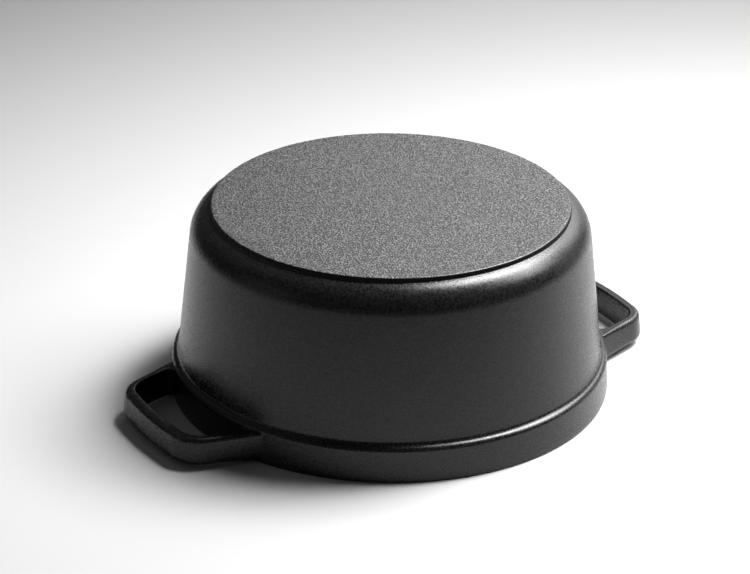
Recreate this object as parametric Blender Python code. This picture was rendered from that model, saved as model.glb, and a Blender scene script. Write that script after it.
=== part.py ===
"""A cast iron dutch oven, standing mouth down on a table over its own lid.

Units are metres and +Z is up. The origin is on the pot's axis at table height, and X runs
through the two loop handles. The pot is one casting: wall, base pad, rim band and both
handles. The lid lies right way up on the table inside the mouth, with its knob in the
cavity, so the pot lifts straight up off it. Profiles are turned about Z.
"""

from math import asin, atan2, ceil, cos, hypot, pi, radians, sin, sqrt

import bpy
from mathutils import Vector

MM = 0.001
GAP = 0.0003  # clearance between pieces that touch

# Pot: heights are above the table, so the rim is at 0 and the base pad is on top.
POT_HEIGHT = 114.5 * MM
RIM_R = 130.0 * MM  # outside of the rim band at the table
BAND_R = 129.2 * MM  # the same band at its ledge, after its draft
BAND_SHOULDER = 18.4 * MM  # where the band's side starts to round over into the ledge
BAND_ROUND = 3.2 * MM
LEDGE_FILLET = 3.0 * MM
RIM_ROUND = 1.2 * MM
WALL_R = 125.3 * MM  # outside of the wall where it leaves the ledge's fillet
WALL_FOOT = 24.2 * MM
WALL_END_R = 115.4 * MM  # outside of the wall, carried up to the height of the base
BASE_TOP = 112.6 * MM  # outside of the base, under the raised pad
SHOULDER_ROUND = 18.4 * MM
PAD_R = 104.8 * MM
PAD_ROUND = 0.8 * MM
WALL_THICKNESS = 4.3 * MM
FLOOR_THICKNESS = 6.0 * MM
INNER_ROUND = 14.0 * MM
MOUTH_R = 121.0 * MM
SEAT_R = 125.5 * MM  # the recess that holds the lid's flange
SEAT_DEPTH = 6.5 * MM

# Loop handles: a flat outline in the plan, drafted from top to bottom.
HANDLE_TOP = 19.0 * MM
HANDLE_BOTTOM = 2.1 * MM
HANDLE_REACH = 163.0 * MM  # from the pot's axis to the outside of the grip bar
HANDLE_DRAFT = 1.1 * MM  # how much wider the outline is at its bottom
OUTER_EDGE = 0.9 * MM  # rounding of the two outer edges
INNER_EDGE = 0.45 * MM  # rounding of the two edges round the finger gap
HANDLE_SINK = 2.2 * MM  # how far the arms run into the band
OUTER_ROOT_W = 49.0 * MM  # half width where the arms cross the band's radius
OUTER_TIP_W = 39.7 * MM
OUTER_BOW = 3.9 * MM
OUTER_CORNER = 20.5 * MM
BAR_THICKNESS = 6.6 * MM
INNER_ROOT_W = 43.2 * MM
INNER_TIP_W = 36.5 * MM
INNER_BOW = 3.1 * MM
INNER_CORNER = 14.5 * MM
ROOT_FILLET = 4.5 * MM
ROOT_BITE = 0.4 * MM  # how far a root fillet starts inside the band's surface
BAR_STEPS = 6
BAR_STEP_LEAST = 0.5 * MM  # shortest step along the grip bar

# Lid: heights are above the table again.
LID_R = 124.5 * MM
FLANGE_BOTTOM = 2.5 * MM
FLANGE_TOP = 6.0 * MM
LIP_OUTER_R = 119.8 * MM
LIP_INNER_R = 115.6 * MM
CROWN_R = 117.5 * MM  # where the crown leaves the flange
CROWN_RISE = 20.0 * MM
LID_THICKNESS = 4.0 * MM
BOSS_R = 15.0 * MM
BOSS_RISE = 1.2 * MM
BOSS_DROP = 1.0 * MM
BOSS_EDGE = 1.5 * MM
FLANGE_ROUND = 0.8 * MM
EDGE_BREAK = 0.5 * MM  # small chamfers on the casting's and the knob's edges
CROWN_FILLET = 1.3 * MM  # half the width of the hollow between the crown and the flange
CROWN_FOOT_RISE = 0.9 * MM
LIP_DRAFT = 1.0 * MM
LIP_FILLET_TOP = 2.6 * MM
UNDER_CROWN_R = 108.0 * MM  # where the crown's underside runs into the lip
KNOB_HOLE_R = 3.4 * MM

# Knob and its fastening.
KNOB_HEIGHT = 31.0 * MM
KNOB_FOOT_R = 11.0 * MM
KNOB_WAIST_R = 8.0 * MM
KNOB_HEAD_R = 20.0 * MM
KNOB_BORE_DEPTH = 16.0 * MM
KNOB_DRILL_TIP = 1.5 * MM
KNOB_HEAD_CORNER = 3.5 * MM
KNOB_CORNER_DEPTH = 6.5 * MM
KNOB_NECK_ROUND = 6.0 * MM
KNOB_NECK_HEIGHT = 14.4 * MM  # of the neck round's centre above the knob's foot
KNOB_FOOT_RISE = 2.4 * MM
KNOB_WAIST_RISE = 6.0 * MM
SCREW_R = 3.0 * MM
SCREW_GRIP = 12.0 * MM  # how far the shank runs into the knob
HEAD_R = 5.6 * MM
HEAD_HEIGHT = 4.0 * MM
HEAD_CROWN = 1.6 * MM  # rounding of the pan head
SCREW_POINT = 0.6 * MM
HEX_R = 2.3 * MM
HEX_DEPTH = 2.2 * MM
FLAT_WASHER = (3.3 * MM, 8.0 * MM, 1.2 * MM)  # inner radius, outer radius, thickness
LOCK_WASHER = (3.3 * MM, 5.5 * MM, 1.5 * MM)
LOCK_SPLIT = 1.0 * MM
LOCK_LEAN = 0.7 * MM
WASHER_CHAMFER = 0.2 * MM
CUT_OVERSHOOT = 1.0 * MM  # how far a cutting form stands out of what it cuts

FINE_STEP = radians(12)  # angle between the points of a large arc
COARSE_STEP = radians(24)  # and of a small one
POT_SEGMENTS = 72
LID_SEGMENTS = 60
SMALL_SEGMENTS = 24

BLACK_CASTING = ((0.018, 0.018, 0.019, 1.0), 0.45, 0.0)
STEEL = ((0.62, 0.61, 0.59, 1.0), 0.28, 1.0)
SPRING_STEEL = ((0.42, 0.42, 0.43, 1.0), 0.38, 1.0)


def clear_scene():
    for obj in list(bpy.data.objects):
        bpy.data.objects.remove(obj, do_unlink=True)


def material(name, finish):
    colour, roughness, metallic = finish
    made = bpy.data.materials.new(name)
    made.use_nodes = True
    shader = made.node_tree.nodes["Principled BSDF"]
    shader.inputs["Base Color"].default_value = colour
    shader.inputs["Roughness"].default_value = roughness
    shader.inputs["Metallic"].default_value = metallic
    return made


def add_object(name, mesh):
    obj = bpy.data.objects.new(name, mesh)
    bpy.context.scene.collection.objects.link(obj)
    return obj


def finish_piece(obj, finish):
    """Applies the modifiers, gives the piece its material and smooths its round faces."""
    graph = bpy.context.evaluated_depsgraph_get()
    mesh = bpy.data.meshes.new_from_object(obj.evaluated_get(graph))
    obj.modifiers.clear()
    obj.data = mesh
    mesh.name = obj.name
    mesh.materials.clear()
    mesh.materials.append(material(obj.name, finish))
    mesh.shade_smooth()
    mesh.set_sharp_from_angle(angle=radians(32))
    return obj


def arc(centre, radius, start, end, step=FINE_STEP):
    """Points of an arc from angle start to angle end, both ends included."""
    count = max(2, ceil(abs(end - start) / step))
    angles = [start + (end - start) * i / count for i in range(count + 1)]
    return [(centre[0] + radius * cos(a), centre[1] + radius * sin(a)) for a in angles]


def turned(name, profile, segments):
    """A profile of (radius, height), down its outer side first, turned about Z."""
    mesh = bpy.data.meshes.new(name)
    points = [(radius, 0.0, height) for radius, height in profile]
    closed = profile[0][0] > 0.0
    edges = [(i, i + 1) for i in range(len(points) - 1)]
    if closed:
        edges.append((len(points) - 1, 0))
    mesh.from_pydata(points, edges, [])
    obj = add_object(name, mesh)
    screw = obj.modifiers.new("turn", "SCREW")
    screw.axis = "Z"
    screw.angle = 2 * pi
    screw.steps = segments
    screw.render_steps = segments
    screw.use_merge_vertices = True
    screw.merge_threshold = 0.00001
    return obj


def shoulder():
    """Where the sloping wall turns over into the base: (arc centre, wall's angle)."""
    slope = atan2(WALL_R - WALL_END_R, BASE_TOP - WALL_FOOT)
    height = BASE_TOP - SHOULDER_ROUND
    wall_r = WALL_R - (height - WALL_FOOT) * (WALL_R - WALL_END_R) / (BASE_TOP - WALL_FOOT)
    centre = (wall_r - SHOULDER_ROUND / cos(slope), height)
    return centre, slope


def ledge(slope):
    """From the wall down to the band's side: a hollow fillet that runs into a rounded shoulder."""
    both = BAND_ROUND + LEDGE_FILLET
    tilt = asin((BAND_ROUND + LEDGE_FILLET * cos(slope) - (BAND_R - WALL_R)) / both)
    shoulder_centre = (BAND_R - BAND_ROUND, BAND_SHOULDER)
    fillet_centre = (shoulder_centre[0] + both * sin(tilt), BAND_SHOULDER + both * cos(tilt))
    fillet = arc(fillet_centre, LEDGE_FILLET, pi + slope, 1.5 * pi - tilt, COARSE_STEP)
    return fillet + arc(shoulder_centre, BAND_ROUND, pi / 2 - tilt, 0.0, COARSE_STEP)[1:]


def pot_outside():
    """From the middle of the base pad down the outer side to the rim."""
    centre, slope = shoulder()
    pad_angle = atan2(sqrt(SHOULDER_ROUND**2 - (PAD_R - centre[0]) ** 2), PAD_R - centre[0])
    pad_edge = (PAD_R - PAD_ROUND, POT_HEIGHT - PAD_ROUND)
    points = [(0.0, POT_HEIGHT)]
    points += arc(pad_edge, PAD_ROUND, pi / 2, 0.0, COARSE_STEP)
    points += arc(centre, SHOULDER_ROUND, pad_angle, slope)
    points += ledge(slope)
    points += arc((RIM_R - RIM_ROUND, RIM_ROUND), RIM_ROUND, 0.0, -pi / 2, COARSE_STEP)
    return points


def pot_inside():
    """From the rim's inner edge up past the lid seat to the middle of the pot's floor."""
    _, slope = shoulder()
    inner_top = POT_HEIGHT - FLOOR_THICKNESS
    wall_r = WALL_R - WALL_THICKNESS
    centre_z = inner_top - INNER_ROUND
    straight_r = wall_r - (centre_z - WALL_FOOT) * (WALL_R - WALL_END_R) / (BASE_TOP - WALL_FOOT)
    centre = (straight_r - INNER_ROUND / cos(slope), centre_z)
    points = [(SEAT_R, 0.0), (SEAT_R, SEAT_DEPTH), (MOUTH_R, SEAT_DEPTH), (wall_r, WALL_FOOT)]
    points += arc(centre, INNER_ROUND, slope, pi / 2)
    points.append((0.0, inner_top))
    return points


def root_fillet(line_point, line_end, band_r, radius, side):
    """The arc that joins a handle arm's edge to the band, listed from the band outwards.

    The edge runs from line_point to line_end, and side is +1 where the fillet lies on its
    left and -1 where it lies on its right.
    """
    along = (Vector(line_end) - Vector(line_point)).normalized()
    across = Vector((-along.y, along.x)) * side
    start = Vector(line_point) + across * radius
    reach = band_r + radius
    ahead = -start.dot(along) + sqrt(start.dot(along) ** 2 - start.length_squared + reach**2)
    centre = start + along * ahead
    touch = centre - across * radius
    from_band = atan2(-centre.y, -centre.x)
    from_edge = atan2(touch.y - centre.y, touch.x - centre.x)
    turn = (from_edge - from_band + pi) % (2 * pi) - pi
    return arc(tuple(centre), radius, from_band, from_band + turn, radians(15))


def rounded_corner(before, corner, after, radius):
    """The arc that replaces a corner between two straight edges."""
    corner = Vector(corner)
    back = (Vector(before) - corner).normalized()
    on = (Vector(after) - corner).normalized()
    half = back.angle(on) / 2
    centre = corner + (back + on).normalized() * (radius / sin(half))
    first = corner + back * (radius * cos(half) / sin(half)) - centre
    last = corner + on * (radius * cos(half) / sin(half)) - centre
    start = atan2(first.y, first.x)
    turn = (atan2(last.y, last.x) - start + pi) % (2 * pi) - pi
    return arc(tuple(centre), radius, start, start + turn)


def arm_and_bar(root_w, tip_w, reach, bow, corner_r, side):
    """Half of one edge of the handle, from the band out along an arm to the bar's middle."""
    corner = (reach - bow, tip_w)
    root = (RIM_R, root_w)
    shares = [k / BAR_STEPS for k in range(BAR_STEPS, -1, -1)]
    bar = [(reach - bow * share**2, tip_w * share) for share in shares]
    points = root_fillet(root, corner, BAND_R - ROOT_BITE, ROOT_FILLET, side)
    points += rounded_corner(root, corner, bar[1], corner_r)
    inside_arc = points[-1][1]
    points += [point for point in bar if point[1] < inside_arc - BAR_STEP_LEAST]
    return points


def handle_outline(grow):
    """The closed outline of one loop handle in the plan, made wider by grow, and its outer side.

    The outline starts in the band on one side, and the outer side is given as the range of
    the points that lie on it.
    """
    outer = arm_and_bar(
        OUTER_ROOT_W + grow, OUTER_TIP_W + grow, HANDLE_REACH + grow, OUTER_BOW, OUTER_CORNER, 1
    )
    inner = arm_and_bar(
        INNER_ROOT_W - grow / 2,
        INNER_TIP_W - grow / 2,
        HANDLE_REACH - BAR_THICKNESS - grow / 2,
        INNER_BOW,
        INNER_CORNER,
        -1,
    )
    sunk = []
    for x, y in (inner[0], outer[0]):
        scale = (BAND_R - HANDLE_SINK) / hypot(x, y)
        sunk.append((x * scale, y * scale))
    upper = sunk + outer
    lower = [(x, -y) for x, y in reversed(upper)]
    inner_lower = [(x, -y) for x, y in inner]
    inner_upper = list(reversed(inner))
    outer_side = range(1, 2 * len(upper) - 2)
    return upper + lower[1:] + inner_lower + inner_upper[1:], outer_side


def loop_handle(name, direction):
    """One loop handle on the +X (direction 1) or -X (direction -1) side."""
    low_outline, outer_side = handle_outline(HANDLE_DRAFT)
    high_outline, _ = handle_outline(0.0)
    low = [(x * direction, y * direction, HANDLE_BOTTOM) for x, y in low_outline]
    high = [(x * direction, y * direction, HANDLE_TOP) for x, y in high_outline]
    count = len(low)
    faces = [list(range(count)), list(range(2 * count - 1, count - 1, -1))]
    for i in range(count):
        k = (i + 1) % count
        faces.append([k, i, i + count, k + count])
    mesh = bpy.data.meshes.new(name)
    mesh.from_pydata(low + high, [], faces)
    weights = mesh.attributes.new("bevel_weight_edge", "FLOAT", "EDGE")
    for edge in mesh.edges:
        first, last = sorted(edge.vertices)
        across = (first < count) != (last < count)
        if not across:
            on_outer = first % count in outer_side and last % count in outer_side
            weights.data[edge.index].value = 1.0 if on_outer else INNER_EDGE / OUTER_EDGE
    obj = add_object(name, mesh)
    bevel = obj.modifiers.new("edge rounding", "BEVEL")
    bevel.width = OUTER_EDGE
    bevel.segments = 2
    bevel.limit_method = "WEIGHT"
    return obj


def join_to(obj, other):
    union = obj.modifiers.new("join " + other.name, "BOOLEAN")
    union.operation = "UNION"
    union.object = other
    other.hide_render = True
    other.display_type = "WIRE"


def cut_with(obj, cutter):
    cut = obj.modifiers.new("cut " + cutter.name, "BOOLEAN")
    cut.operation = "DIFFERENCE"
    cut.object = cutter
    cutter.hide_render = True
    cutter.display_type = "WIRE"


def pot_body():
    pot = turned("pot_body", pot_outside() + pot_inside(), POT_SEGMENTS)
    join_to(pot, loop_handle("handle_left_form", -1))
    join_to(pot, loop_handle("handle_right_form", 1))
    return finish_piece(pot, BLACK_CASTING)


def crown_height(radius, top):
    """Height of a shallow dome that is top high in the middle and falls CROWN_RISE by CROWN_R."""
    dome_r = (CROWN_R**2 + CROWN_RISE**2) / (2 * CROWN_RISE)
    return top - dome_r + sqrt(dome_r**2 - radius**2)


def crown(outer_top, radii):
    return [(radius, crown_height(radius, outer_top)) for radius in radii]


def lid_levels():
    """Heights of the boss's top and of the seat under it, where the washers bear."""
    top = FLANGE_TOP + CROWN_RISE
    boss_top = top + BOSS_RISE
    boss_under = top - LID_THICKNESS - BOSS_DROP
    return boss_top, boss_under


def lid():
    """The lid's casting: locating lip, flange, shallow crown and a bored boss for the knob."""
    top = FLANGE_TOP + CROWN_RISE
    boss_top, boss_under = lid_levels()
    spread = [CROWN_R * k / 6 for k in range(2, 6)]
    outside = [(KNOB_HOLE_R, boss_top), (BOSS_R - BOSS_EDGE, boss_top)]
    outside += crown(top, [BOSS_R + EDGE_BREAK] + spread)
    outside += [(CROWN_R - CROWN_FILLET, FLANGE_TOP + CROWN_FOOT_RISE), (CROWN_R + CROWN_FILLET, FLANGE_TOP)]
    outside += [(LID_R - FLANGE_ROUND, FLANGE_TOP), (LID_R, FLANGE_TOP - FLANGE_ROUND)]
    outside += [(LID_R, FLANGE_BOTTOM + EDGE_BREAK), (LID_R - EDGE_BREAK, FLANGE_BOTTOM)]
    outside += [(LIP_OUTER_R, FLANGE_BOTTOM), (LIP_OUTER_R, EDGE_BREAK), (LIP_OUTER_R - EDGE_BREAK, 0.0)]
    inside = [(LIP_INNER_R + EDGE_BREAK, 0.0), (LIP_INNER_R, EDGE_BREAK)]
    inside += [(LIP_INNER_R - LIP_DRAFT, LIP_FILLET_TOP)]
    inside += crown(top - LID_THICKNESS, [radius for radius in reversed(spread) if radius < UNDER_CROWN_R])
    inside += crown(top - LID_THICKNESS, [BOSS_R - LIP_DRAFT])
    inside += [(BOSS_R - LIP_DRAFT - BOSS_EDGE, boss_under), (KNOB_HOLE_R, boss_under)]
    return finish_piece(turned("lid", outside + inside, LID_SEGMENTS), BLACK_CASTING)


def lid_knob():
    """A solid steel mushroom knob with a blind bore for the screw."""
    boss_top, _ = lid_levels()
    foot = boss_top + GAP
    top = foot + KNOB_HEIGHT
    corner_r = KNOB_HEAD_R - KNOB_HEAD_CORNER
    bore_r = SCREW_R + GAP
    neck_centre = (KNOB_WAIST_R + KNOB_NECK_ROUND, foot + KNOB_NECK_HEIGHT)
    drop, corner = KNOB_CORNER_DEPTH, KNOB_HEAD_CORNER
    dome_r = (corner_r**2 + drop**2 - corner**2) / (2 * (drop - corner))
    meet = atan2(dome_r - drop, corner_r)
    points = arc((0.0, top - dome_r), dome_r, pi / 2, meet)
    points += arc((corner_r, top - drop), corner, meet, -pi / 2, COARSE_STEP)[1:]
    points += arc(neck_centre, KNOB_NECK_ROUND, pi / 2, pi, COARSE_STEP)
    points += [(KNOB_WAIST_R, foot + KNOB_WAIST_RISE), (KNOB_FOOT_R - EDGE_BREAK, foot + KNOB_FOOT_RISE)]
    points += [(KNOB_FOOT_R, foot + KNOB_FOOT_RISE - EDGE_BREAK), (KNOB_FOOT_R, foot + EDGE_BREAK)]
    points += [(KNOB_FOOT_R - EDGE_BREAK, foot), (bore_r, foot)]
    points += [(bore_r, foot + KNOB_BORE_DEPTH), (0.0, foot + KNOB_BORE_DEPTH + KNOB_DRILL_TIP)]
    return finish_piece(turned("lid_knob", points, SMALL_SEGMENTS), STEEL)


def washer_levels():
    """Underside of each washer and of the screw head, stacked down from the lid's boss."""
    _, boss_under = lid_levels()
    flat = boss_under - GAP - FLAT_WASHER[2]
    lock = flat - GAP - LOCK_WASHER[2]
    return flat, lock, lock - GAP - HEAD_HEIGHT


def knob_screw():
    """An M6 pan head screw, head down, with a hexagonal socket in its head."""
    boss_top, _ = lid_levels()
    _, _, head_low = washer_levels()
    shank_top = boss_top + GAP + SCREW_GRIP
    head_high = head_low + HEAD_HEIGHT
    points = [(0.0, shank_top), (SCREW_R - SCREW_POINT, shank_top), (SCREW_R, shank_top - SCREW_POINT)]
    points += [(SCREW_R, head_high), (HEAD_R, head_high)]
    points += arc((HEAD_R - HEAD_CROWN, head_low + HEAD_CROWN), HEAD_CROWN, 0.0, -pi / 2, 2 * COARSE_STEP)
    points.append((0.0, head_low))
    screw = turned("knob_screw", points, SMALL_SEGMENTS)
    socket_top = head_low + HEX_DEPTH
    below = head_low - CUT_OVERSHOOT
    socket = [(0.0, socket_top), (HEX_R, socket_top), (HEX_R, below), (0.0, below)]
    cut_with(screw, turned("socket_form", socket, 6))
    return finish_piece(screw, STEEL)


def ring(name, size, underside):
    inner_r, outer_r, thickness = size
    top = underside + thickness
    points = [(inner_r, top), (outer_r - WASHER_CHAMFER, top), (outer_r, top - WASHER_CHAMFER)]
    points += [(outer_r, underside + WASHER_CHAMFER), (outer_r - WASHER_CHAMFER, underside)]
    points.append((inner_r, underside))
    return turned(name, points, SMALL_SEGMENTS)


def flat_washer():
    flat, _, _ = washer_levels()
    return finish_piece(ring("flat_washer", FLAT_WASHER, flat), STEEL)


def lock_washer():
    """A split spring washer: a ring with a slanted slot cut through one side."""
    _, lock, _ = washer_levels()
    washer = ring("lock_washer", LOCK_WASHER, lock)
    inner_r, outer_r, thickness = LOCK_WASHER
    half, lean = LOCK_SPLIT / 2, LOCK_LEAN
    low, high = lock - CUT_OVERSHOOT / 2, lock + thickness + CUT_OVERSHOOT / 2
    section = [(-half - lean, low), (half - lean, low), (half + lean, high), (-half + lean, high)]
    points = [(x, y, z) for x in (inner_r / 2, outer_r + CUT_OVERSHOOT) for y, z in section]
    faces = [(3, 2, 1, 0), (4, 5, 6, 7), (0, 1, 5, 4), (1, 2, 6, 5), (2, 3, 7, 6), (3, 0, 4, 7)]
    mesh = bpy.data.meshes.new("split_form")
    mesh.from_pydata(points, [], faces)
    cut_with(washer, add_object("split_form", mesh))
    return finish_piece(washer, SPRING_STEEL)


def build():
    clear_scene()
    pot = pot_body()
    lid_parts = [lid(), lid_knob(), knob_screw(), flat_washer(), lock_washer()]
    lid_group = add_object("lid_group", None)
    for part in lid_parts:
        part.parent = lid_group
    pot_group = add_object("pot_group", None)
    pot.parent = pot_group
    for form in [obj for obj in bpy.data.objects if obj.hide_render]:
        bpy.data.objects.remove(form, do_unlink=True)


build()
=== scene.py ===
"""The looks of the cast iron dutch oven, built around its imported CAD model.

Units are metres and +Z is up. The pot stands mouth down on the floor over its own lid. Its
axis is the Z axis, and X runs through the loop handles. Profiles are (radius, height) pairs.
"""

from math import asin, atan2, ceil, cos, hypot, pi, radians, sin, sqrt

import bmesh
import bpy
import numpy as np
from mathutils import Matrix, Vector

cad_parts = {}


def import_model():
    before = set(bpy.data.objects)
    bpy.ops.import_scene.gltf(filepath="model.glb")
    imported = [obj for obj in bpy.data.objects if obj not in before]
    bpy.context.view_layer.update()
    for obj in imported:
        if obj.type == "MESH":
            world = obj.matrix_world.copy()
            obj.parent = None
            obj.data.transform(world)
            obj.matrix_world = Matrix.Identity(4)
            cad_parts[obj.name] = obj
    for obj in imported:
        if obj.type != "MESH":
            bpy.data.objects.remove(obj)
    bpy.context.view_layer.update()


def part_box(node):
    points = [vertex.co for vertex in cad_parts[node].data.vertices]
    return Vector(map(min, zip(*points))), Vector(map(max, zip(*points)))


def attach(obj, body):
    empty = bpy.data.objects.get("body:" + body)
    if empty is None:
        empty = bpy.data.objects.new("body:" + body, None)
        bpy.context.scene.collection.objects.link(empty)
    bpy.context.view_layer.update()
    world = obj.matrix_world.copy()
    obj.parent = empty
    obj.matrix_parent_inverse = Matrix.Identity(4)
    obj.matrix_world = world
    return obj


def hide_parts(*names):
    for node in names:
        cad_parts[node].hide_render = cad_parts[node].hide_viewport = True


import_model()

MM = 0.001
POT_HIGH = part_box("pot_body")[1]
LID_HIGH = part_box("lid")[1]
KNOB_LOW, KNOB_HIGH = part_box("lid_knob")
SCREW_LOW, SCREW_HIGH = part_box("knob_screw")
FLAT_LOW, FLAT_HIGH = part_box("flat_washer")
LOCK_LOW, LOCK_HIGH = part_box("lock_washer")

# Pot
POT_HEIGHT = POT_HIGH.z
RIM_R = POT_HIGH.y
BAND_R = RIM_R - 0.8 * MM
BAND_SHOULDER = 18.4 * MM  # height at which the band's side starts to round over
BAND_ROUND = 3.2 * MM
LEDGE_FILLET = 3.0 * MM
RIM_ROUND = 1.2 * MM
WALL_R = RIM_R - 4.7 * MM
WALL_FOOT = 24.2 * MM
WALL_END_R = RIM_R - 14.6 * MM
BASE_TOP = POT_HEIGHT - 1.9 * MM
SHOULDER_ROUND = 18.4 * MM
PAD_R = 104.8 * MM
PAD_ROUND = 0.9 * MM
STEP_FILLET = 0.5 * MM
WALL_THICKNESS = 4.3 * MM
FLOOR_THICKNESS = 6.0 * MM
INNER_ROUND = 14.0 * MM
MOUTH_R = 121.0 * MM
SEAT_R = 125.5 * MM
SEAT_DEPTH = 6.5 * MM
WALL_SLOPE = atan2(WALL_R - WALL_END_R, BASE_TOP - WALL_FOOT)

# Loop handles
HANDLE_DRAFT = 1.35 * MM  # how much wider the outline is at its bottom
REACH_INSET = 1.1 * MM  # from the CAD's widest point in to the top of the grip bar
HANDLE_REACH = POT_HIGH.x - REACH_INSET
HANDLE_TOP = 19.0 * MM
HANDLE_BOTTOM = 2.1 * MM
OUTER_EDGE = 2.8 * MM  # rounding of the top outer edge, all the way round the handle
LOW_EDGE = 4.6 * MM  # rounding of the bottom outer edge
INNER_EDGE = 1.0 * MM  # rounding of the two edges round the finger gap
HANDLE_SINK = 2.2 * MM
OUTER_ROOT_W = 49.0 * MM
OUTER_TIP_W = 39.7 * MM
OUTER_BOW = 3.9 * MM
OUTER_CORNER = 20.5 * MM
BAR_THICKNESS = 6.6 * MM
INNER_ROOT_W = 43.2 * MM
INNER_TIP_W = 36.5 * MM
INNER_BOW = 3.1 * MM
INNER_CORNER = 14.5 * MM
ROOT_FILLET = 4.5 * MM
ROOT_BITE = 0.4 * MM  # how far the root's fillet ends inside the band
TOP_FLARE = 1.2 * MM  # fillet between an arm's top and the band
BOTTOM_FLARE = 1.2 * MM

# Lid, which lies on the floor inside the pot's mouth
LID_R = LID_HIGH.x
FLANGE_BOTTOM = 2.5 * MM
FLANGE_TOP = 6.0 * MM
LIP_OUTER_R = 119.8 * MM
LIP_INNER_R = 115.6 * MM
CROWN_R = 117.5 * MM
CROWN_RISE = 20.0 * MM
LID_THICKNESS = 4.0 * MM
FLANGE_ROUND = 0.8 * MM  # rounding of the flange's upper edge
CROWN_START = 0.8 * MM  # how far outside the boss the crown's curve starts
CROWN_END = 2.4 * MM  # and how far inside CROWN_R it ends
CROWN_SWEEP = 5.0 * MM  # radius of the hollow that leads from the crown out onto the flange
CROWN_SWEEP_OUT = 1.6 * MM  # how far its centre lies outside CROWN_R
UNDER_START_R = 108.0 * MM  # where the curve under the crown starts
UNDER_END = 0.2 * MM  # how far inside BOSS_R it ends
LIP_CORNER = 3.0 * MM  # radius of the corner between the lip and the crown's underside
LIP_CORNER_HEIGHT = 1.4 * MM  # height of that corner's centre
BOSS_R = 15.0 * MM
BOSS_TOP = LID_HIGH.z
BOSS_RISE = 1.2 * MM
BOSS_DEPTH = 6.2 * MM
BOSS_UNDER = BOSS_TOP - BOSS_DEPTH
BOSS_UNDER_EDGE = 0.6 * MM  # rounding of the boss's lower edge
BOSS_UNDER_IN = 2.8 * MM  # how far inside BOSS_R that rounding's centre lies
KNOB_HOLE_R = 3.4 * MM
CROWN_TOP = BOSS_TOP - BOSS_RISE
# Rings of drip nubs under the lid: radius and number.
DRIP_RINGS = ((34 * MM, 8), (56 * MM, 14), (78 * MM, 20), (98 * MM, 24))
DRIP_R = 3.0 * MM
DRIP_DEPTH = 2.2 * MM

# Knob and its fastening
KNOB_FOOT = KNOB_LOW.z
KNOB_TOP = KNOB_HIGH.z
KNOB_HEAD_R = KNOB_HIGH.x
KNOB_HEAD_CORNER = 3.5 * MM
KNOB_CORNER_DEPTH = 6.5 * MM
KNOB_WAIST_R = 8.0 * MM
KNOB_FOOT_R = 11.0 * MM
KNOB_NECK_HEIGHT = 14.4 * MM  # of the centre of the round under the head, above the knob's foot
KNOB_SWEEP_HEIGHT = 6.0 * MM  # of the centre of the sweep from the waist out to the foot
KNOB_FOOT_THICKNESS = 1.9 * MM  # up to the centre of the foot's upper edge
KNOB_BORE_R = 3.3 * MM
KNOB_BORE_DEPTH = 16.0 * MM
SCREW_R = 3.0 * MM
HEAD_R = SCREW_HIGH.x
HEAD_HEIGHT = 4.0 * MM
HEX_R = 2.3 * MM
HEX_DEPTH = 2.2 * MM
THREAD_PITCH = 1.0 * MM
THREAD_DEPTH = 0.54 * MM
WASHER_HOLE_R = 3.3 * MM
LOCK_RISE = 0.15 * MM
LOCK_SPLIT = 1.0 * MM
LOCK_LEAN = 0.6 * MM

POT_SEGMENTS = 360
LID_SEGMENTS = 240
SMALL_SEGMENTS = 96
WELD = 0.002 * MM  # points closer than this become one

# Finishes: linear grey, roughness, depth of the grain and gloss (specular level).
BODY_GREY = 0.008
BODY_ROUGH = 0.28
BODY_GRAIN = 0.08 * MM
# The pad's grey makes painted glints: bright specks in its base colour stand in for light sparkling off
# the grain.
PAD_PAINTED_GLINT_GREY = 0.024
PAD_ROUGH = 0.42
PAD_GRAIN = 0.50 * MM
BODY_GLOSS = 0.37
PAD_GLOSS = 0.78
# The step's grey, roughness and gloss make painted shade: a black darker and duller than the coat where
# shade falls in the pad's step.
STEP_PAINTED_SHADE_GREY = 0.004
STEP_ROUGH = 0.56
STEP_GLOSS = 0.12
PAD_TOP_SHARE = 0.06  # share of the pad's rounding that counts as its top
STEP_BAND = 0.25 * MM  # how far from the pad's side a face may lie and still get the step's painted shade
STEP_UPRIGHT = 0.6  # and the most that its normal may point up
FLOOR_COLOUR = (0.54, 0.54, 0.54, 1.0)
FLOOR_ROUGH = 0.7

# Camera: the direction it looks from, as azimuth and elevation round the pot.
CAMERA_AZIMUTH = radians(-31.96)
CAMERA_ELEVATION = radians(25.44)
CAMERA_ROLL = radians(0.44)
CAMERA_DISTANCE = 1.688
CAMERA_LENS = 137.5
AIM_RIGHT = -8.9 * MM  # the point it looks at, to the right of the pot's axis
AIM_HEIGHT = 59.4 * MM

# Stage. Lengths are in metres.
FLOOR_SIZE = 16.0
WORLD_GLOW = 0.05  # strength of the white glow from all round
NARROW = 58  # degrees, the cone of the three soft boxes that make the shoulder's highlight
LIT_SPOT = (0.11, -0.05)  # where those three shine, to the right of the pot and in front


def arc(centre, radius, start, end, count):
    """count steps along an arc from angle start to angle end, both ends included."""
    angles = [start + (end - start) * i / count for i in range(count + 1)]
    return [(centre[0] + radius * cos(a), centre[1] + radius * sin(a)) for a in angles]


def straight(start, end, count):
    """The points between start and end, without either of them."""
    steps = [i / count for i in range(1, count)]
    return [(start[0] + (end[0] - start[0]) * t, start[1] + (end[1] - start[1]) * t) for t in steps]


def joined(*runs, step):
    """One profile from several runs of points, with straight steps filled in between them."""
    points = list(runs[0])
    for run in runs[1:]:
        gap = hypot(run[0][0] - points[-1][0], run[0][1] - points[-1][1])
        points += straight(points[-1], run[0], max(1, ceil(gap / step)))
        points += run
    return points


def add_mesh(name, points, faces):
    mesh = bpy.data.meshes.new(name)
    mesh.from_pydata([tuple(p) for p in points], [], faces)
    mesh.update()
    obj = bpy.data.objects.new(name, mesh)
    bpy.context.scene.collection.objects.link(obj)
    return obj


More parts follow.
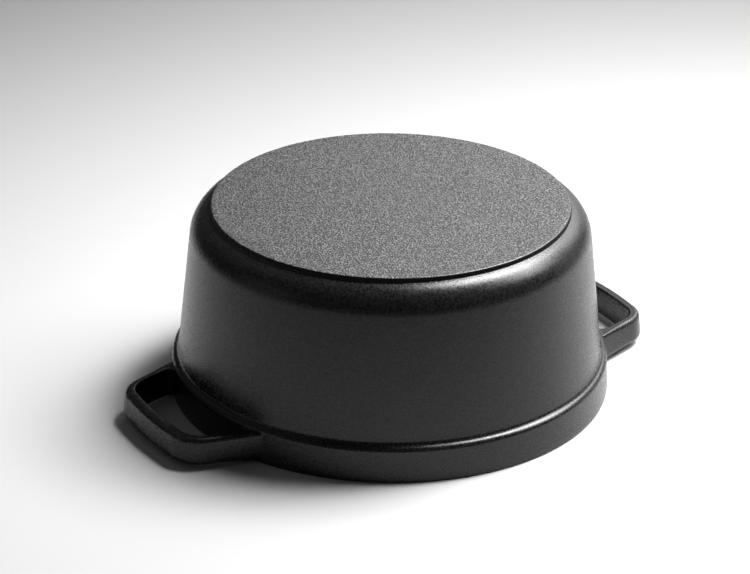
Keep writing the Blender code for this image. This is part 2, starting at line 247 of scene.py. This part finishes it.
def revolved(name, profile, segments, closed=False):
    """Turns a profile about Z. It runs down the outer side first.

    A profile point on the axis becomes a single vertex.
    """
    profile = np.array(profile)
    on_axis = profile[:, 0] < 1e-9
    turns = np.arange(segments) * 2 * pi / segments
    points, rings = [], []
    for (radius, height), single in zip(profile, on_axis):
        first = len(points)
        if single:
            points.append((0.0, 0.0, height))
            rings.append([first] * segments)
        else:
            points += [(radius * cos(a), radius * sin(a), height) for a in turns]
            rings.append(list(range(first, first + segments)))
    faces = []
    pairs = list(zip(rings, rings[1:]))
    if closed:
        pairs.append((rings[-1], rings[0]))
    for upper, lower in pairs:
        for i in range(segments):
            k = (i + 1) % segments
            corners = [upper[i], lower[i], lower[k], upper[k]]
            faces.append(tuple(dict.fromkeys(corners)))
    return add_mesh(name, points, faces)


def smooth(obj, angle=35):
    obj.data.shade_smooth()
    obj.data.set_sharp_from_angle(angle=radians(angle))


def settle(obj):
    """Applies every modifier, so that the piece's mesh is the final one."""
    graph = bpy.context.evaluated_depsgraph_get()
    mesh = bpy.data.meshes.new_from_object(obj.evaluated_get(graph))
    obj.modifiers.clear()
    obj.data = mesh
    mesh.name = obj.name


def clean(mesh):
    """Splits the many-sided faces that a Boolean leaves, and takes out faces without area."""
    form = bmesh.new()
    form.from_mesh(mesh)
    bmesh.ops.remove_doubles(form, verts=form.verts, dist=WELD)
    many_sided = [face for face in form.faces if len(face.verts) > 4]
    bmesh.ops.triangulate(form, faces=many_sided)
    bmesh.ops.dissolve_degenerate(form, dist=WELD, edges=form.edges)
    form.to_mesh(mesh)
    form.free()


def combine(obj, others, operation="UNION"):
    """Joins others to obj, or cuts them out of it, and removes them."""
    for other in others:
        boolean = obj.modifiers.new("combine", "BOOLEAN")
        boolean.operation = operation
        boolean.object = other
    settle(obj)
    clean(obj.data)
    for other in others:
        bpy.data.objects.remove(other, do_unlink=True)


# ---- Pot -----------------------------------------------------------------------------------


def wall_radius(height):
    """Radius of the straight part of the pot's wall at a height."""
    return WALL_R - (height - WALL_FOOT) * (WALL_R - WALL_END_R) / (BASE_TOP - WALL_FOOT)


def pot_outside():
    """The outer profile, from the pad's middle down over the wall, ledge and band to the rim."""
    centre_z = BASE_TOP - SHOULDER_ROUND
    centre = (wall_radius(centre_z) - SHOULDER_ROUND / cos(WALL_SLOPE), centre_z)
    foot_r = PAD_R + STEP_FILLET
    reach = SHOULDER_ROUND + STEP_FILLET
    fillet_z = centre[1] + sqrt(reach**2 - (foot_r - centre[0]) ** 2)
    touch = atan2(fillet_z - centre[1], foot_r - centre[0])
    pad_edge = (PAD_R - PAD_ROUND, POT_HEIGHT - PAD_ROUND)
    band_round = (BAND_R - BAND_ROUND, BAND_SHOULDER)
    both = BAND_ROUND + LEDGE_FILLET
    gap = BAND_ROUND + LEDGE_FILLET * cos(WALL_SLOPE) - (BAND_R - WALL_R)
    ledge_tilt = asin(gap / both)
    ledge_fillet = (band_round[0] + both * sin(ledge_tilt), band_round[1] + both * cos(ledge_tilt))
    return joined(
        [(0.0, POT_HEIGHT)],
        arc(pad_edge, PAD_ROUND, pi / 2, 0.0, 8),
        arc((foot_r, fillet_z), STEP_FILLET, pi, pi + touch, 4),
        arc(centre, SHOULDER_ROUND, touch, WALL_SLOPE, 26)[1:],
        arc(ledge_fillet, LEDGE_FILLET, pi + WALL_SLOPE, 1.5 * pi - ledge_tilt, 10),
        arc(band_round, BAND_ROUND, pi / 2 - ledge_tilt, 0.0, 12)[1:],
        arc((RIM_R - RIM_ROUND, RIM_ROUND), RIM_ROUND, 0.0, -pi / 2, 6),
        step=4 * MM,
    )


def pot_inside():
    """The inner profile, from the rim's inner edge past the lid's seat to the floor's middle."""
    inner_top = POT_HEIGHT - FLOOR_THICKNESS
    centre_z = inner_top - INNER_ROUND
    centre = (wall_radius(centre_z) - WALL_THICKNESS - INNER_ROUND / cos(WALL_SLOPE), centre_z)
    lip = 0.5 * MM
    return joined(
        arc((SEAT_R + lip, lip), lip, -pi / 2, -pi, 3),
        arc((SEAT_R - lip, SEAT_DEPTH - lip), lip, 0.0, pi / 2, 3),
        arc((MOUTH_R + lip, SEAT_DEPTH + lip), lip, -pi / 2, -pi, 3),
        [(WALL_R - WALL_THICKNESS, WALL_FOOT)],
        arc(centre, INNER_ROUND, WALL_SLOPE, pi / 2, 12),
        [(0.0, inner_top)],
        step=8 * MM,
    )


def root_fillet(line_point, line_end, band_r, radius, side):
    """The arc that joins a handle arm's edge to the band, listed from the band outwards."""
    along = (Vector(line_end) - Vector(line_point)).normalized()
    across = Vector((-along.y, along.x)) * side
    start = Vector(line_point) + across * radius
    reach = band_r + radius
    ahead = -start.dot(along) + sqrt(start.dot(along) ** 2 - start.length_squared + reach**2)
    centre = start + along * ahead
    touch = centre - across * radius
    from_band = atan2(-centre.y, -centre.x)
    turn = (atan2(touch.y - centre.y, touch.x - centre.x) - from_band + pi) % (2 * pi) - pi
    return arc(tuple(centre), radius, from_band, from_band + turn, 10)


def rounded_corner(before, corner, after, radius):
    """The arc that rounds a corner between the points before and after it."""
    corner = Vector(corner)
    back = (Vector(before) - corner).normalized()
    on = (Vector(after) - corner).normalized()
    half = back.angle(on) / 2
    centre = corner + (back + on).normalized() * (radius / sin(half))
    first = corner + back * (radius * cos(half) / sin(half)) - centre
    last = corner + on * (radius * cos(half) / sin(half)) - centre
    start = atan2(first.y, first.x)
    turn = (atan2(last.y, last.x) - start + pi) % (2 * pi) - pi
    return arc(tuple(centre), radius, start, start + turn, 14)


def arm_and_bar(root_w, tip_w, reach, bow, corner_r, side):
    """Half of one edge of the handle, from the band out along an arm to the bar's middle."""
    corner = (reach - bow, tip_w)
    root = (RIM_R, root_w)
    bar_steps = 10
    bar_next = (reach - bow * (1 - 1 / bar_steps) ** 2, tip_w * (1 - 1 / bar_steps))
    fillet = root_fillet(root, corner, BAND_R - ROOT_BITE, ROOT_FILLET, side)
    turn = rounded_corner(root, corner, bar_next, corner_r)
    points = fillet + straight(fillet[-1], turn[0], 6) + turn
    last_w = turn[-1][1]
    for k in range(bar_steps - 1, -1, -1):
        width = last_w * k / bar_steps
        points.append((reach - bow * (width / tip_w) ** 2, width))
    return np.array(points)


def handle_edges(grow):
    """The outer and inner edge of a whole handle in the plan, made wider by grow."""
    outer = arm_and_bar(
        OUTER_ROOT_W + grow, OUTER_TIP_W + grow, HANDLE_REACH + grow, OUTER_BOW, OUTER_CORNER, 1
    )
    inner = arm_and_bar(
        INNER_ROOT_W - grow / 2,
        INNER_TIP_W - grow / 2,
        HANDLE_REACH - BAR_THICKNESS - grow / 2,
        INNER_BOW,
        INNER_CORNER,
        -1,
    )
    edges = []
    for edge in (outer, inner):
        sunk = edge[0] * (BAND_R - HANDLE_SINK) / np.hypot(*edge[0])
        half = np.vstack([sunk, edge])
        edges.append(np.vstack([half, (half * (1, -1))[-2::-1]]))
    return edges


def section_steps():
    """Round the handle's section: (on the inner side, inset, height, share of the root flare)."""
    steps = []
    corners = (
        (False, HANDLE_TOP, -1, OUTER_EDGE, False),
        (True, HANDLE_TOP, -1, INNER_EDGE, True),
        (True, HANDLE_BOTTOM, 1, INNER_EDGE, False),
        (False, HANDLE_BOTTOM, 1, LOW_EDGE, True),
    )
    for inside, level, into, edge, starts_flat in corners:
        quarter = [pi / 2 * k / 6 for k in range(7)]
        for a in reversed(quarter) if starts_flat else quarter:
            inset = edge * (1 - cos(a)) * (-1 if inside else 1)
            steps.append((inside, inset, level + into * edge * (1 - sin(a)), -into * sin(a)))
    return steps


def flare(points, radius):
    """Height that a fillet of this radius adds next to the band, at each point of the plan."""
    away = np.clip(np.hypot(points[:, 0], points[:, 1]) - (BAND_R - ROOT_BITE), 0.0, radius)
    return radius - np.sqrt(radius**2 - (radius - away) ** 2)


def loop_handle(name, direction):
    """One loop handle, swept as a rounded drafted section along its outline."""
    top_outer, top_inner = handle_edges(0.0)
    low_outer, low_inner = handle_edges(HANDLE_DRAFT)
    tall = HANDLE_TOP - HANDLE_BOTTOM
    rings = []
    for inside, inset, height, lift in section_steps():
        share = (HANDLE_TOP - height) / tall
        outer = top_outer + (low_outer - top_outer) * share
        inner = top_inner + (low_inner - top_inner) * share
        inwards = inner - outer
        inwards /= np.linalg.norm(inwards, axis=1)[:, None]
        plan = (inner if inside else outer) + inwards * inset
        radius = TOP_FLARE if lift > 0 else BOTTOM_FLARE
        rings.append(np.column_stack([plan * direction, height + lift * flare(plan, radius)]))
    stations = np.array(rings).transpose(1, 0, 2)
    count, around = stations.shape[:2]
    faces = [tuple(range(around)), tuple((count - 1) * around + i for i in reversed(range(around)))]
    for s in range(count - 1):
        for i in range(around):
            k = (i + 1) % around
            here, there = s * around, (s + 1) * around
            faces.append((here + k, here + i, there + i, there + k))
    return add_mesh(name, stations.reshape(-1, 3), faces)


def pot_casting():
    pot = revolved("pot_casting", pot_outside() + pot_inside(), POT_SEGMENTS)
    handles = [loop_handle("handle_form_a", -1), loop_handle("handle_form_b", 1)]
    combine(pot, handles)
    smooth(pot)
    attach(pot, "pot")
    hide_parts("pot_body")
    return pot


def place_piece(piece, body, node, finish):
    """Puts a finished piece on its body in place of its CAD node."""
    piece.data.materials.append(finish)
    smooth(piece)
    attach(piece, body)
    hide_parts(node)


# ---- Lid -----------------------------------------------------------------------------------


def crown_height(radius, top):
    """Height of a shallow dome that is top high in the middle and falls CROWN_RISE by CROWN_R."""
    dome_r = (CROWN_R**2 + CROWN_RISE**2) / (2 * CROWN_RISE)
    return top - dome_r + sqrt(dome_r**2 - radius**2)


def crown(top, start, end, count=40):
    """Points on that dome, from radius start to radius end."""
    radii = [start + (end - start) * i / count for i in range(count + 1)]
    return [(radius, crown_height(radius, top)) for radius in radii]


def lid_profile():
    """The lid's closed section, from the knob's hole out over the top and back underneath."""
    bevel = 0.5 * MM
    boss_round = 0.8 * MM
    edge = BOSS_UNDER_EDGE
    under = CROWN_TOP - LID_THICKNESS
    return joined(
        arc((KNOB_HOLE_R + bevel, BOSS_TOP - bevel), bevel, pi, pi / 2, 4),
        arc((BOSS_R - boss_round, BOSS_TOP - boss_round), boss_round, pi / 2, 0.15 * pi, 5),
        crown(CROWN_TOP, BOSS_R + CROWN_START, CROWN_R - CROWN_END),
        arc((CROWN_R + CROWN_SWEEP_OUT, FLANGE_TOP + CROWN_SWEEP), CROWN_SWEEP, 1.27 * pi, 1.5 * pi, 6),
        arc((LID_R - FLANGE_ROUND, FLANGE_TOP - FLANGE_ROUND), FLANGE_ROUND, pi / 2, 0.0, 6),
        arc((LID_R - bevel, FLANGE_BOTTOM + bevel), bevel, 0.0, -pi / 2, 4),
        arc((LIP_OUTER_R + bevel, FLANGE_BOTTOM - bevel), bevel, pi / 2, pi, 4),
        arc((LIP_OUTER_R - bevel, bevel), bevel, 0.0, -pi / 2, 4),
        arc((LIP_INNER_R + bevel, bevel), bevel, 1.5 * pi, pi, 4),
        arc((LIP_INNER_R - LIP_CORNER, LIP_CORNER_HEIGHT), LIP_CORNER, 0.0, 0.44 * pi, 8),
        crown(under, UNDER_START_R, BOSS_R - UNDER_END),
        arc((BOSS_R - BOSS_UNDER_IN, BOSS_UNDER + edge), edge, 0.0, -pi / 2, 5),
        arc((KNOB_HOLE_R + bevel, BOSS_UNDER + bevel), bevel, 1.5 * pi, pi, 4),
        step=3 * MM,
    )


def drip_nub(angle, radius):
    """A domed nub under the crown, as points and faces. Its flat back is buried in the casting."""
    middle_z = crown_height(radius, CROWN_TOP - LID_THICKNESS)
    rings = [(DRIP_R, 1.5 * MM)] + [
        (DRIP_R * cos(a), -DRIP_DEPTH * sin(a)) for a in [pi / 2 * k / 5 for k in range(5)]
    ]
    sides = 20
    points = []
    for size, drop in rings:
        for k in range(sides):
            turn = 2 * pi * k / sides
            spot = (radius + size * cos(turn), size * sin(turn), middle_z + drop)
            points.append(Matrix.Rotation(angle, 3, "Z") @ Vector(spot))
    points.append(Matrix.Rotation(angle, 3, "Z") @ Vector((radius, 0.0, middle_z - DRIP_DEPTH)))
    faces = [tuple(range(sides))]
    for r in range(len(rings) - 1):
        for k in range(sides):
            n = (k + 1) % sides
            faces.append((r * sides + n, r * sides + k, (r + 1) * sides + k, (r + 1) * sides + n))
    last = (len(rings) - 1) * sides
    faces += [(last + (k + 1) % sides, last + k, len(points) - 1) for k in range(sides)]
    return points, faces


def drip_nubs():
    """All the nubs as one mesh, in rings round the lid's axis."""
    points, faces = [], []
    for radius, count in DRIP_RINGS:
        for i in range(count):
            more_points, more_faces = drip_nub(2 * pi * i / count, radius)
            faces += [tuple(v + len(points) for v in face) for face in more_faces]
            points += more_points
    return add_mesh("drip_nubs_form", points, faces)


def lid_casting(finish):
    lid = revolved("lid_casting", lid_profile(), LID_SEGMENTS, closed=True)
    combine(lid, [drip_nubs()])
    place_piece(lid, "lid_assembly", "lid", finish)


# ---- Knob and fastening --------------------------------------------------------------------


def turned_knob(finish):
    corner, depth = KNOB_HEAD_CORNER, KNOB_CORNER_DEPTH
    corner_r = KNOB_HEAD_R - corner
    dome_r = (corner_r**2 + depth**2 - corner**2) / (2 * (depth - corner))
    meet = atan2(dome_r - depth, corner_r)
    neck = 6.0 * MM
    foot_sweep = 4.0 * MM
    edge = 0.5 * MM
    profile = joined(
        arc((0.0, KNOB_TOP - dome_r), dome_r, pi / 2, meet, 16),
        arc((corner_r, KNOB_TOP - depth), corner, meet, -pi / 2, 18)[1:],
        arc((KNOB_WAIST_R + neck, KNOB_FOOT + KNOB_NECK_HEIGHT), neck, pi / 2, pi, 14),
        arc((KNOB_WAIST_R + foot_sweep, KNOB_FOOT + KNOB_SWEEP_HEIGHT), foot_sweep, pi, 1.37 * pi, 8),
        arc((KNOB_FOOT_R - edge, KNOB_FOOT + KNOB_FOOT_THICKNESS), edge, 0.3 * pi, 0.0, 3),
        arc((KNOB_FOOT_R - edge, KNOB_FOOT + edge), edge, 0.0, -pi / 2, 4),
        arc((KNOB_BORE_R + edge, KNOB_FOOT + edge), edge, 1.5 * pi, pi, 3),
        [(KNOB_BORE_R, KNOB_FOOT + KNOB_BORE_DEPTH), (0.0, KNOB_FOOT + KNOB_BORE_DEPTH + 1.5 * MM)],
        step=1.5 * MM,
    )
    knob = revolved("turned_knob", profile, SMALL_SEGMENTS)
    place_piece(knob, "lid_assembly", "lid_knob", finish)


def cut_thread(screw, low, high):
    """Pulls the shank's points in to a 60 degree thread that runs out at both ends."""
    for vertex in screw.data.vertices:
        x, y, z = vertex.co
        radius = hypot(x, y)
        if low < z < high and radius > 0.9 * SCREW_R:
            phase = (z / THREAD_PITCH - atan2(y, x) / (2 * pi)) % 1.0
            groove = min(1.0, max(0.0, abs(2 * phase - 1) * 1.25 - 0.12))
            run_out = min(1.0, (z - low) / THREAD_PITCH, (high - z) / (0.4 * THREAD_PITCH))
            shrink = 1 - THREAD_DEPTH * groove * run_out / radius
            vertex.co.x, vertex.co.y = x * shrink, y * shrink


def threaded_screw(finish):
    head_low = SCREW_LOW.z
    head_high = head_low + HEAD_HEIGHT
    tip = SCREW_HIGH.z
    edge = 0.3 * MM
    crown_r = 1.6 * MM
    point = 0.7 * MM
    overshoot = 1.0 * MM
    profile = joined(
        [(0.0, tip), (SCREW_R - point, tip), (SCREW_R, tip - point)],
        arc((SCREW_R + edge, head_high + edge), edge, pi, 1.5 * pi, 3),
        arc((HEAD_R - edge, head_high - edge), edge, pi / 2, 0.0, 4),
        arc((HEAD_R - crown_r, head_low + crown_r), crown_r, 0.0, -pi / 2, 10),
        [(0.0, head_low)],
        step=THREAD_PITCH / 8,
    )
    screw = revolved("threaded_screw", profile, SMALL_SEGMENTS // 2)
    cut_thread(screw, head_high + THREAD_PITCH, tip)
    socket_top = head_low + HEX_DEPTH
    below = head_low - overshoot
    socket = [(0.0, socket_top), (HEX_R, socket_top), (HEX_R, below), (0.0, below)]
    combine(screw, [revolved("hex_form", socket, 6)], "DIFFERENCE")
    place_piece(screw, "lid_assembly", "knob_screw", finish)


def plain_washer(finish):
    low, high, outer_r = FLAT_LOW.z, FLAT_HIGH.z, FLAT_HIGH.x
    edge = 0.25 * MM
    burr = 0.08 * MM
    profile = (
        arc((WASHER_HOLE_R + edge, high - edge), edge, pi, pi / 2, 4)
        + arc((outer_r - edge, high - edge), edge, pi / 2, 0.0, 4)
        + arc((outer_r - burr, low + burr), burr, 0.0, -pi / 2, 2)
        + arc((WASHER_HOLE_R + burr, low + burr), burr, 1.5 * pi, pi, 2)
    )
    washer = revolved("plain_washer", profile, SMALL_SEGMENTS, closed=True)
    place_piece(washer, "lid_assembly", "flat_washer", finish)


def spring_washer(finish):
    """A square wire ring, cut on a slant and sprung so that one end stands above the other."""
    height = LOCK_HIGH.z - LOCK_LOW.z - LOCK_RISE
    outer_r = LOCK_HIGH.y
    edge = 0.15 * MM
    middle_r, half_w = (WASHER_HOLE_R + outer_r) / 2, (outer_r - WASHER_HOLE_R) / 2
    section = []
    for across, up, start in ((1, 1, 0.0), (-1, 1, 0.5), (-1, -1, 1.0), (1, -1, 1.5)):
        centre = (middle_r + across * (half_w - edge), up * (height / 2 - edge))
        section += arc(centre, edge, start * pi, (start + 0.5) * pi, 3)
    steps = 72
    gap = LOCK_SPLIT / middle_r
    points = []
    for k in range(steps + 1):
        share = k / steps
        rise = LOCK_LOW.z + height / 2 + LOCK_RISE * share
        for radius, level in section:
            turn = gap / 2 + (2 * pi - gap) * share + level / height * 2 * LOCK_LEAN / middle_r
            points.append((radius * cos(turn), radius * sin(turn), rise + level))
    around = len(section)
    faces = [tuple(reversed(range(around))), tuple(steps * around + i for i in range(around))]
    for k in range(steps):
        for i in range(around):
            n = (i + 1) % around
            here, there = k * around, (k + 1) * around
            faces.append((here + i, here + n, there + n, there + i))
    washer = add_mesh("spring_washer", points, faces)
    place_piece(washer, "lid_assembly", "lock_washer", finish)


# ---- Materials -----------------------------------------------------------------------------


class Nodes:
    """Builds a node material: each call adds a node, sets its sockets and returns its output."""

    def __init__(self, name):
        self.material = bpy.data.materials.new(name)
        self.material.use_nodes = True
        self.tree = self.material.node_tree
        self.shader = self.tree.nodes["Principled BSDF"]
        self.place = self.add("ShaderNodeTexCoord").outputs["Object"]

    def add(self, kind, inputs=(), **settings):
        node = self.tree.nodes.new(kind)
        for key, value in settings.items():
            setattr(node, key, value)
        for key, value in dict(inputs).items():
            self.put(node.inputs[key], value)
        return node

    def put(self, socket, value):
        if isinstance(value, bpy.types.NodeSocket):
            self.tree.links.new(value, socket)
        else:
            socket.default_value = value

    def noise(self, size, detail=2.0, rough=0.5, seed=0.0):
        """Noise from 0 to 1 whose lumps are about size across."""
        texture = self.add(
            "ShaderNodeTexNoise",
            {"Vector": self.place, "Scale": 1.0 / size, "Detail": detail, "Roughness": rough, "W": seed},
            noise_dimensions="4D",
        )
        return texture.outputs["Fac"]

    def remap(self, value, low, high, to_low, to_high):
        """value from low..high, held inside it, to to_low..to_high."""
        found = self.add(
            "ShaderNodeMapRange",
            {"Value": value, "From Min": low, "From Max": high, "To Min": to_low, "To Max": to_high},
        )
        return found.outputs["Result"]

    def math(self, operation, first, second=0.0):
        found = self.add("ShaderNodeMath", {0: first, 1: second}, operation=operation)
        return found.outputs["Value"]

    def mix(self, share, first, second):
        found = self.add("ShaderNodeMix", data_type="RGBA")
        self.put(found.inputs["Factor"], share)
        self.put(found.inputs[6], first)
        self.put(found.inputs[7], second)
        return found.outputs[2]

    def bumps(self, *layers):
        """Stacks bump layers of (height, depth in metres), and feeds them to the shader."""
        normal = None
        for height, depth in layers:
            bump = self.add("ShaderNodeBump", {"Height": height, "Distance": depth, "Strength": 1.0})
            if normal is not None:
                self.put(bump.inputs["Normal"], normal)
            normal = bump.outputs["Normal"]
        self.put(self.shader.inputs["Normal"], normal)

    def set(self, **sockets):
        for key, value in sockets.items():
            self.put(self.shader.inputs[key.replace("_", " ")], value)

    def rings(self, size):
        """Noise that runs in rings round the axis, as the marks of a lathe do."""
        place = self.add("ShaderNodeSeparateXYZ", {"Vector": self.place}).outputs
        across = self.add("ShaderNodeCombineXYZ", {"X": place["X"], "Y": place["Y"]}).outputs["Vector"]
        radius = self.add("ShaderNodeVectorMath", {0: across}, operation="LENGTH").outputs["Value"]
        section = self.add("ShaderNodeCombineXYZ", {"X": radius, "Z": place["Z"]}).outputs["Vector"]
        texture = self.add("ShaderNodeTexNoise", {"Vector": section, "Scale": 1.0 / size, "Detail": 3.0})
        return texture.outputs["Fac"]


def grey(level):
    return (level, level, level * 1.02, 1.0)


def black_casting():
    """Satin black coating over fine shot-blasted casting."""
    nodes = Nodes("black_casting")
    fine = nodes.noise(0.7 * MM, 3.0, 0.6)
    grain = nodes.noise(1.2 * MM, 2.0, 0.55, 4.0)
    cloud = nodes.noise(30 * MM, 3.0, 0.55, 9.0)
    speckle = nodes.remap(grain, 0.35, 0.65, 0.0, 1.0)
    colour = nodes.mix(speckle, grey(BODY_GREY * 0.4), grey(BODY_GREY * 1.6))
    patches = nodes.remap(cloud, 0.3, 0.7, BODY_ROUGH - 0.02, BODY_ROUGH + 0.02)
    rough = nodes.math("ADD", patches, nodes.remap(grain, 0.35, 0.65, -0.05, 0.05))
    nodes.set(Base_Color=colour, Roughness=rough, Specular_IOR_Level=BODY_GLOSS)
    nodes.bumps((grain, 0.05 * MM), (fine, BODY_GRAIN))
    return nodes.material


def pad_grain_painted_glints():
    """The raised base pad: the same coat over a coarser, sharper grain, with painted glints: its base
    colour is lighter than the body's, in bright specks that stand in for light sparkling off the grain.
    """
    nodes = Nodes("pad_grain_painted_glints")
    fine = nodes.noise(1.05 * MM, 1.0, 0.6, 2.0)
    speck = nodes.noise(2.4 * MM, 2.0, 0.6, 7.0)
    # painted glints: bright specks in the base colour stand in for light sparkling off the grain
    painted_glint = nodes.remap(fine, 0.48, 0.66, 0.0, 1.0)
    colour = nodes.mix(painted_glint, grey(PAD_PAINTED_GLINT_GREY * 0.02), grey(PAD_PAINTED_GLINT_GREY * 8.0))
    rough = nodes.remap(fine, 0.35, 0.65, PAD_ROUGH + 0.15, PAD_ROUGH - 0.15)
    nodes.set(Base_Color=colour, Roughness=rough, Specular_IOR_Level=PAD_GLOSS)
    nodes.bumps((speck, 0.06 * MM), (fine, PAD_GRAIN))
    return nodes.material


def turned_steel():
    """Bright steel straight from the lathe: fine rings and faint handling marks."""
    nodes = Nodes("turned_steel")
    fine = nodes.rings(0.12 * MM)
    marks = nodes.noise(6 * MM, 4.0, 0.6)
    handled = nodes.remap(marks, 0.35, 0.7, 0.0, 1.0)
    colour = nodes.mix(handled, (0.60, 0.595, 0.58, 1.0), (0.52, 0.515, 0.50, 1.0))
    ringed = nodes.remap(fine, 0.3, 0.7, 0.17, 0.25)
    rough = nodes.math("ADD", ringed, nodes.remap(marks, 0.4, 0.7, 0.0, 0.06))
    nodes.set(Base_Color=colour, Metallic=1.0, Roughness=rough)
    nodes.bumps((fine, 0.012 * MM))
    return nodes.material


def plated_steel():
    """Zinc plate on the screw and the flat washer: a soft crystalline grey with dull spots."""
    nodes = Nodes("plated_steel")
    crystals = nodes.noise(0.5 * MM, 3.0, 0.6, 1.0)
    dull = nodes.noise(3 * MM, 3.0, 0.6, 5.0)
    spots = nodes.remap(dull, 0.4, 0.65, 0.0, 1.0)
    colour = nodes.mix(spots, (0.56, 0.57, 0.58, 1.0), (0.40, 0.41, 0.42, 1.0))
    rough = nodes.remap(dull, 0.35, 0.65, 0.28, 0.42)
    nodes.set(Base_Color=colour, Metallic=1.0, Roughness=rough)
    nodes.bumps((crystals, 0.01 * MM))
    return nodes.material


def spring_steel():
    """The lock washer's oiled spring steel, darker, with drawn scratches along the wire."""
    nodes = Nodes("spring_steel")
    drawn = nodes.rings(0.10 * MM)
    oil = nodes.noise(2 * MM, 3.0, 0.6, 3.0)
    film = nodes.remap(oil, 0.35, 0.65, 0.0, 1.0)
    colour = nodes.mix(film, (0.20, 0.195, 0.19, 1.0), (0.32, 0.315, 0.31, 1.0))
    rough = nodes.remap(drawn, 0.3, 0.7, 0.32, 0.44)
    nodes.set(Base_Color=colour, Metallic=1.0, Roughness=rough)
    nodes.bumps((drawn, 0.015 * MM))
    return nodes.material


def floor_paper():
    """The studio's plain pale paper."""
    material = bpy.data.materials.new("floor_paper")
    material.use_nodes = True
    shader = material.node_tree.nodes["Principled BSDF"]
    shader.inputs["Base Color"].default_value = FLOOR_COLOUR
    shader.inputs["Roughness"].default_value = FLOOR_ROUGH
    return material


def step_painted_shade():
    """Painted shade for the pad's steep side: a black darker and duller than the coat stands in for the
    shade that falls in the step.
    """
    nodes = Nodes("step_painted_shade")
    fine = nodes.noise(0.7 * MM, 3.0, 0.6, 11.0)
    speckle = nodes.remap(fine, 0.35, 0.65, 0.0, 1.0)
    colour = nodes.mix(speckle, grey(STEP_PAINTED_SHADE_GREY * 0.5), grey(STEP_PAINTED_SHADE_GREY * 1.5))
    rough = nodes.remap(fine, 0.35, 0.65, STEP_ROUGH - 0.06, STEP_ROUGH + 0.06)
    nodes.set(Base_Color=colour, Roughness=rough, Specular_IOR_Level=STEP_GLOSS)
    nodes.bumps((fine, 0.05 * MM))
    return nodes.material


def dress_pot(pot, finish):
    """Coarse grain with painted glints on the pad's top, painted shade (a darker, duller black) on its
    steep side and satin black on the rest.
    """
    for material in (finish, pad_grain_painted_glints(), step_painted_shade()):
        pot.data.materials.append(material)
    for face in pot.data.polygons:
        on_top = face.center.z > POT_HEIGHT - PAD_TOP_SHARE * PAD_ROUND
        near_side = abs(hypot(face.center.x, face.center.y) - PAD_R) < STEP_BAND
        high_enough = face.center.z > BASE_TOP - STEP_FILLET
        # faces on the step's side get the painted shade
        in_painted_shade = near_side and high_enough and abs(face.normal.z) < STEP_UPRIGHT
        face.material_index = 1 if on_top else 2 if in_painted_shade else 0


# ---- Stage ---------------------------------------------------------------------------------


def camera():
    """The photograph's point of view."""
    a, e, roll = CAMERA_AZIMUTH, CAMERA_ELEVATION, CAMERA_ROLL
    back = Vector((sin(a) * cos(e), -cos(a) * cos(e), sin(e)))
    right = Vector((cos(a), sin(a), 0.0))
    up = back.cross(right)
    tilted_right = right * cos(roll) + up * sin(roll)
    tilted_up = up * cos(roll) - right * sin(roll)
    aim = right * AIM_RIGHT + Vector((0.0, 0.0, AIM_HEIGHT))
    data = bpy.data.cameras.new("camera")
    data.lens = CAMERA_LENS
    data.sensor_width = 36.0
    data.clip_start, data.clip_end = 0.05, 60.0
    obj = bpy.data.objects.new("camera", data)
    bpy.context.scene.collection.objects.link(obj)
    turn = Matrix((tilted_right, tilted_up, back)).transposed().to_4x4()
    obj.matrix_world = Matrix.Translation(aim + back * CAMERA_DISTANCE) @ turn
    bpy.context.scene.camera = obj


def seen_place(right, back, up):
    """A point given to the camera's right of the pot's axis, behind it, and above the floor."""
    a = CAMERA_AZIMUTH
    return Vector((right * cos(a) - back * sin(a), right * sin(a) + back * cos(a), up))


def soft_box(name, azimuth, elevation, distance, size, power, spread=180, aim=(0.0, 0.0)):
    """A square soft box. Its azimuth goes from the camera's right towards the back.

    spread is the cone it shines in, in degrees, and aim is the spot on the floor that it
    faces, as (to the camera's right of the pot's axis, behind it).
    """
    a, e = radians(azimuth), radians(elevation)
    level = cos(e) * distance
    place = seen_place(cos(a) * level, sin(a) * level, sin(e) * distance + AIM_HEIGHT)
    data = bpy.data.lights.new(name, "AREA")
    data.shape = "SQUARE"
    data.size = size
    data.energy = power
    data.spread = radians(spread)
    obj = bpy.data.objects.new(name, data)
    bpy.context.scene.collection.objects.link(obj)
    obj.location = place
    obj.rotation_mode = "QUATERNION"
    obj.rotation_quaternion = (place - seen_place(*aim, 0.0)).to_track_quat("Z", "Y")
    obj.visible_camera = False


def floor():
    half = FLOOR_SIZE / 2
    corners = [(-half, -half, 0), (half, -half, 0), (half, half, 0), (-half, half, 0)]
    plane = add_mesh("floor", corners, [(0, 1, 2, 3)])
    plane.data.materials.append(floor_paper())


def world():
    """A faint white glow from all round, under the soft boxes."""
    made = bpy.data.worlds.new("world")
    made.use_nodes = True
    background = made.node_tree.nodes["Background"]
    background.inputs["Color"].default_value = (1, 1, 1, 1)
    background.inputs["Strength"].default_value = WORLD_GLOW
    bpy.context.scene.world = made


camera()
floor()
black = black_casting()
dress_pot(pot_casting(), black)
lid_casting(black)
plated = plated_steel()
turned_knob(turned_steel())
threaded_screw(plated)
plain_washer(plated)
spring_washer(spring_steel())
world()
soft_box("key", 26, 68, 1.7, 0.36, 2.1, spread=NARROW, aim=LIT_SPOT)
soft_box("main", 34, 53, 1.7, 0.72, 6.0, spread=NARROW, aim=LIT_SPOT)
soft_box("low", 10, 40, 1.7, 0.57, 1.6, spread=NARROW, aim=LIT_SPOT)
soft_box("side", 54, 30, 2.2, 1.05, 15.0)
soft_box("back", 85, 26, 1.2, 0.4, 0.8)
soft_box("wall", 65, 10, 2.2, 0.94, 2.7)
soft_box("skirt", 28, 15, 2.2, 1.2, 2.8)
soft_box("fill", 200, 12, 1.2, 0.7, 0.3)
soft_box("top", 150, 52, 1.5, 1.2, 0.35)
bpy.context.scene.view_settings.view_transform = "Standard"
